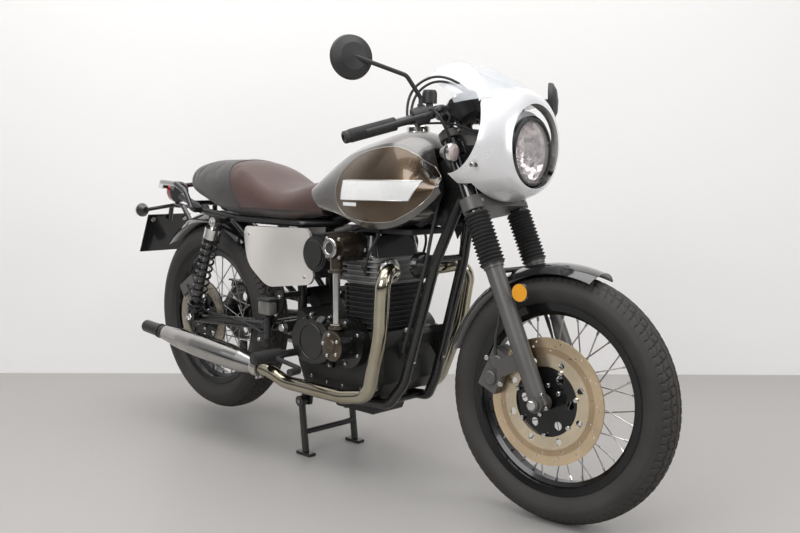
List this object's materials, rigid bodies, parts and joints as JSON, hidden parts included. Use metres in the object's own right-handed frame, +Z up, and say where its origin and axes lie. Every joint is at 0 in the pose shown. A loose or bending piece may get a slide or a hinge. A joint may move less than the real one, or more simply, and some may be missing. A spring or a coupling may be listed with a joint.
{
  "type": "cafe racer motorcycle",
  "caption": "Cafe racer motorcycle with an air-cooled upright twin, bikini cowl, low bars, humped seat and spoked wheels, parked on its centre stand.",
  "frame": {"origin": "on the floor, at the middle of the bounding box in plan", "axes": "+X forward, +Y to the rider's left, +Z up; the steering rests 4.4 degrees to the left"},
  "size_m": [2.1961, 0.8348, 1.2229],
  "materials": {
    "tyre_rubber": "matt",
    "black_rim": "gloss",
    "spoke_steel": "satin",
    "hub_black": "satin",
    "disc_bronze": "brushed",
    "steel": "satin",
    "chrome": "mirror",
    "frame_black": "gloss",
    "fork_black": "satin",
    "rubber_black": "matt",
    "fender_black": "gloss",
    "cowl_silver": "pearl gloss",
    "clear_screen": "clear",
    "lamp_glass": "clear over chrome",
    "gauge_black": "satin",
    "lamp_clear": "gloss",
    "lamp_red": "gloss",
    "reflector_amber": "gloss",
    "plastic_black": "matt",
    "engine_black": "semi-gloss",
    "engine_grey": "cast",
    "tank_bronze": "metallic gloss",
    "cover_silver": "metallic gloss",
    "seat_leather": "grained vinyl",
    "plate_white": "gloss",
    "chain_steel": "oiled"
  },
  "bodies": {
    "chassis": {"main_frame": "frame_black", "swingarm": "frame_black", "pivot_pins": "steel", "rear_axle": "steel", "shock_dampers": "frame_black", "shock_springs": "frame_black", "crankcase": "engine_black", "engine_covers": "engine_black", "cylinder_block": "engine_black", "cylinder_head": "engine_grey", "cam_cover": "engine_black", "cam_drive_tower": "chrome", "intakes": "engine_black", "airbox": "plastic_black", "exhaust_headers": "chrome", "silencers": "chrome", "fuel_tank": "tank_bronze", "fuel_cap": "chrome", "seat": "seat_leather", "side_covers": "cover_silver", "rear_fender": "fender_black", "tail_light": "lamp_red", "number_plate": "plate_white", "rear_signals": "lamp_clear", "grab_rail": "chrome", "horn": "plastic_black", "footrests": "rubber_black", "chain": "chain_steel", "rear_caliper": "fork_black"},
    "steering": {"yokes": "fork_black", "fork_tubes": "steel", "fork_gaiters": "rubber_black", "fork_lowers": "fork_black", "front_axle": "steel", "front_fender": "fender_black", "handlebar": "frame_black", "grips": "rubber_black", "hand_controls": "plastic_black", "mirrors": "plastic_black", "cowl": "cowl_silver", "windscreen": "clear_screen", "headlight": "lamp_glass", "lamp_bracket": "frame_black", "instruments": "gauge_black", "front_signals": "lamp_clear", "front_caliper": "fork_black", "reflectors": "reflector_amber"},
    "front_wheel": {"front_tyre": "tyre_rubber", "front_rim": "black_rim", "front_spokes": "spoke_steel", "front_hub": "hub_black", "front_disc": "disc_bronze"},
    "rear_wheel": {"rear_tyre": "tyre_rubber", "rear_rim": "black_rim", "rear_spokes": "spoke_steel", "rear_hub": "hub_black", "rear_disc": "disc_bronze", "rear_sprocket": "chain_steel"},
    "centre_stand": {"centre_stand": "frame_black"},
    "side_stand": {"side_stand": "frame_black"}
  },
  "joints": [
    {"name": "steering_turn", "type": "hinge", "parent": "chassis", "child": "steering", "pos_m": [0.72977, 0, 0.29571], "axis": [-0.4147, 0, 0.91], "range_deg": [-38.4, 29.6]},
    {"name": "front_wheel_spin", "type": "hinge", "parent": "steering", "child": "front_wheel", "pos_m": [0.77985, 0.00424, 0.31853], "axis": [-0.0698, 0.9971, -0.0318], "continuous": true},
    {"name": "rear_wheel_spin", "type": "hinge", "parent": "chassis", "child": "rear_wheel", "pos_m": [-0.684, 0, 0.3676], "axis": [0, 1, 0], "continuous": true},
    {"name": "centre_stand_fold", "type": "hinge", "parent": "chassis", "child": "centre_stand", "pos_m": [-0.116, 0, 0.17], "axis": [0, 1, 0], "range_deg": [0, 78]},
    {"name": "side_stand_fold", "type": "hinge", "parent": "chassis", "child": "side_stand", "pos_m": [0.021, 0.112, 0.19], "axis": [0.1291, -0.9055, -0.4042], "range_deg": [0, 72]}
  ]
}
